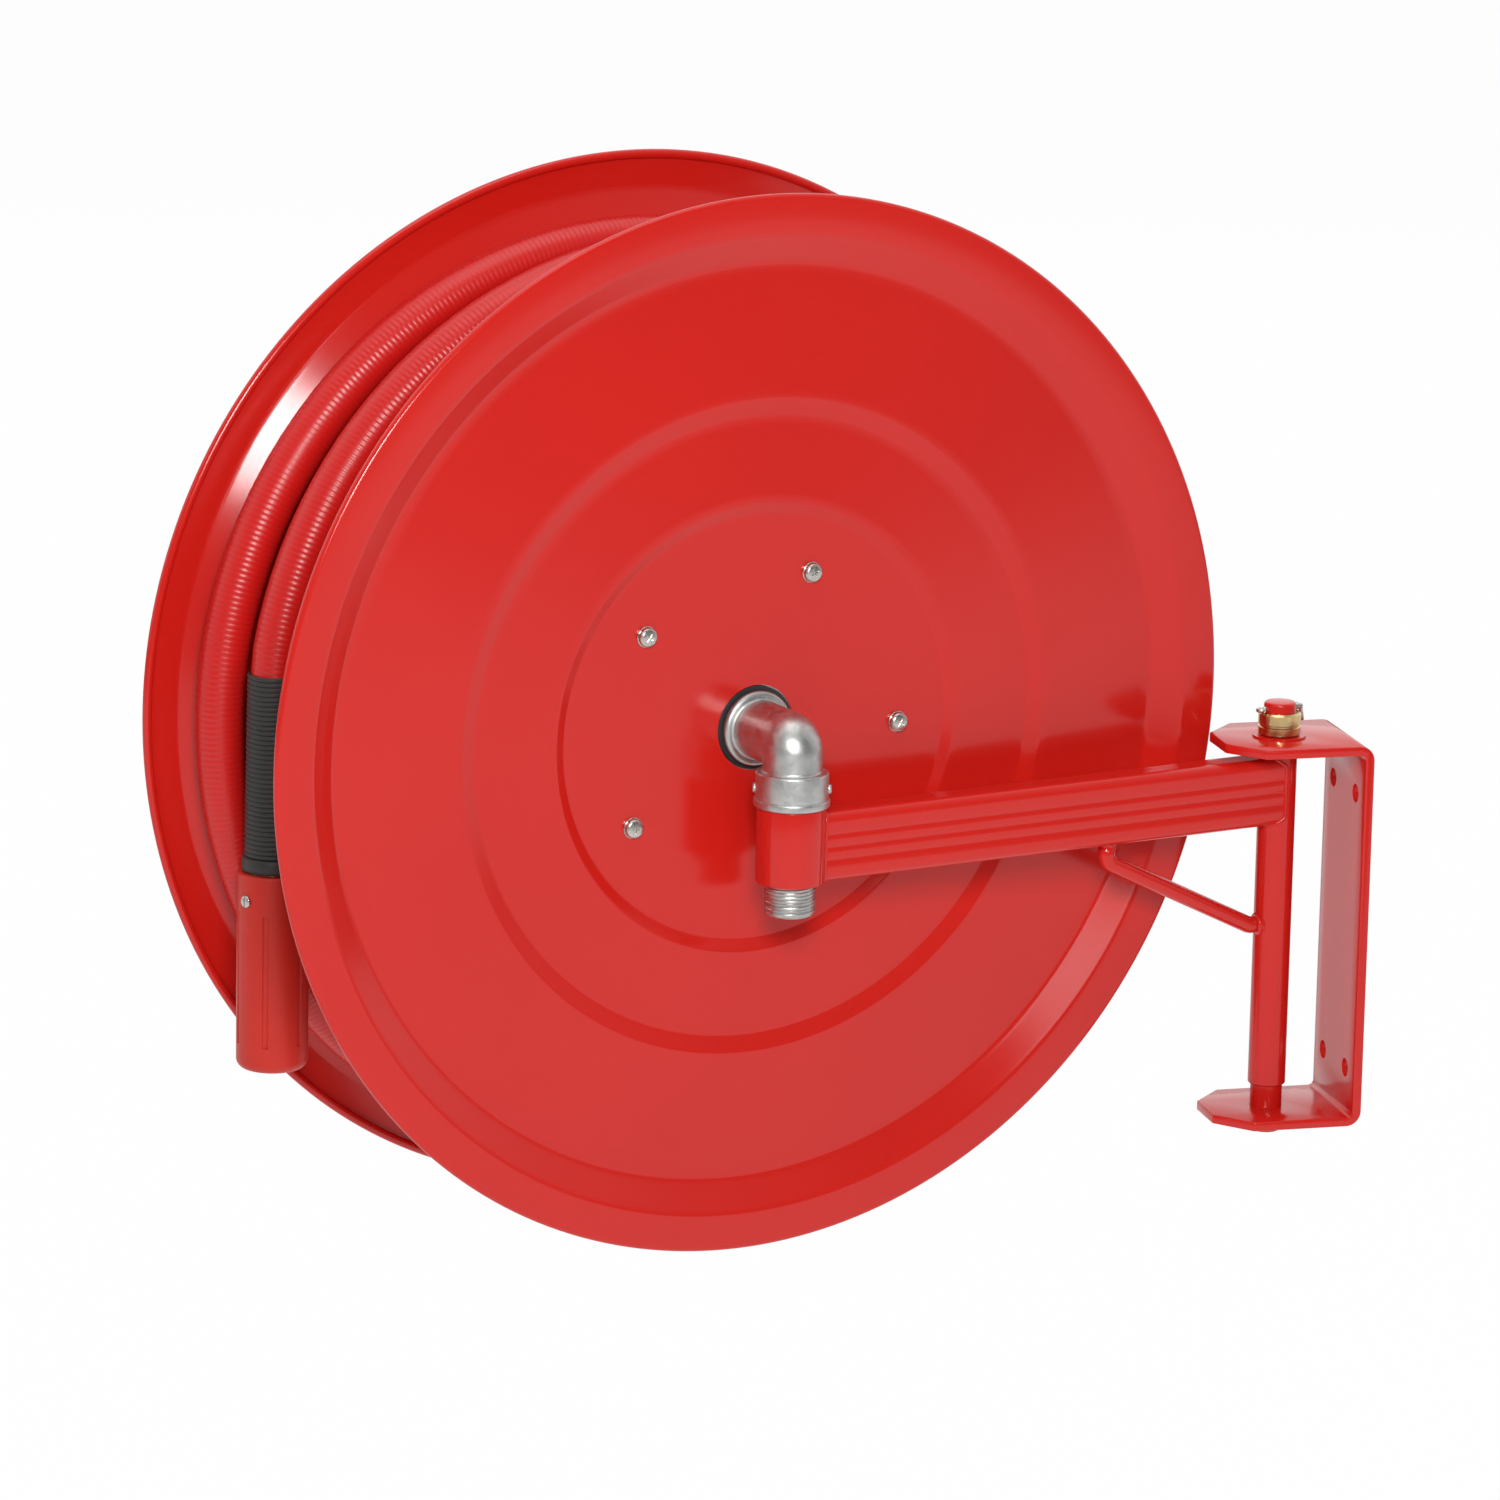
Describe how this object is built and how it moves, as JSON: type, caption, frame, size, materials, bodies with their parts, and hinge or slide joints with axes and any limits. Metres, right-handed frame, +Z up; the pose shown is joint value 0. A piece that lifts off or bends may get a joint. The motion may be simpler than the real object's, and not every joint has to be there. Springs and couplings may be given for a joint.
{
  "type": "fire hose reel",
  "caption": "Swinging fire hose reel: a wound hose between two pressed discs, turning on a water-fed spindle at the end of an arm that swings on a wall bracket.",
  "frame": {"origin": "centre of the four wall bolts, on the back face of the bracket", "axes": "+X into the wall, +Y along the wall, +Z up"},
  "size_m": [0.6438, 0.2917, 0.553],
  "materials": {
    "red_paint": "glossy powder coat",
    "galvanised": "cast and galvanised",
    "bright_zinc": "zinc plated",
    "yellow_zinc": "yellow zinc plate",
    "brass": "turned",
    "black_nylon": "moulded",
    "black_rubber": "moulded",
    "hose_rubber": "smooth cover",
    "red_plastic": "moulded"
  },
  "bodies": {
    "bracket": {"wall_bracket": "red_paint", "upper_bush": "red_paint", "lower_bush": "red_paint"},
    "arm": {"post_tube": "red_paint", "pivot_shaft": "red_paint", "thrust_collar": "yellow_zinc", "split_pin": "galvanised", "arm_tube": "red_paint", "brace_rod": "red_paint", "inlet_sleeve": "red_paint", "inlet_nipple": "galvanised", "inlet_elbow": "galvanised", "spindle": "brass", "spindle_spacer": "black_nylon", "spindle_o_rings": "black_rubber", "spindle_circlip": "bright_zinc"},
    "reel": {"front_disc": "red_paint", "rear_disc": "red_paint", "drum_core": "red_paint", "hub": "galvanised", "front_flange": "galvanised", "rear_flange": "galvanised", "front_screws": "bright_zinc", "rear_screws": "bright_zinc", "front_washers": "bright_zinc", "rear_washers": "bright_zinc", "flange_nuts": "bright_zinc", "outlet_elbow": "brass", "hose_clamp": "bright_zinc", "hose_inner_end": "hose_rubber", "hose_inner_layers": "hose_rubber", "hose_outer_turns": "hose_rubber", "hose_free_end": "hose_rubber", "grip_sleeve": "black_rubber", "nozzle_body": "brass", "nozzle_plunger": "brass", "nozzle_o_rings": "black_rubber"},
    "barrel": {"nozzle_barrel": "red_plastic", "nozzle_insert": "black_nylon", "guide_screw": "bright_zinc"}
  },
  "joints": [
    {"name": "arm_swing", "type": "hinge", "parent": "bracket", "child": "arm", "pos_m": [-0.0425, 0, 0], "axis": [0, 0, 1], "range_deg": [-25, 75]},
    {"name": "reel_turn", "type": "hinge", "parent": "arm", "child": "reel", "pos_m": [-0.33718, -0.04583, 0.1296], "axis": [-0.2588, 0.9659, 0], "continuous": true},
    {"name": "barrel_twist", "type": "hinge", "parent": "reel", "child": "barrel", "pos_m": [-0.58325, -0.00803, 0.0096], "axis": [0, 0, 1], "range_deg": [0, 180]}
  ]
}
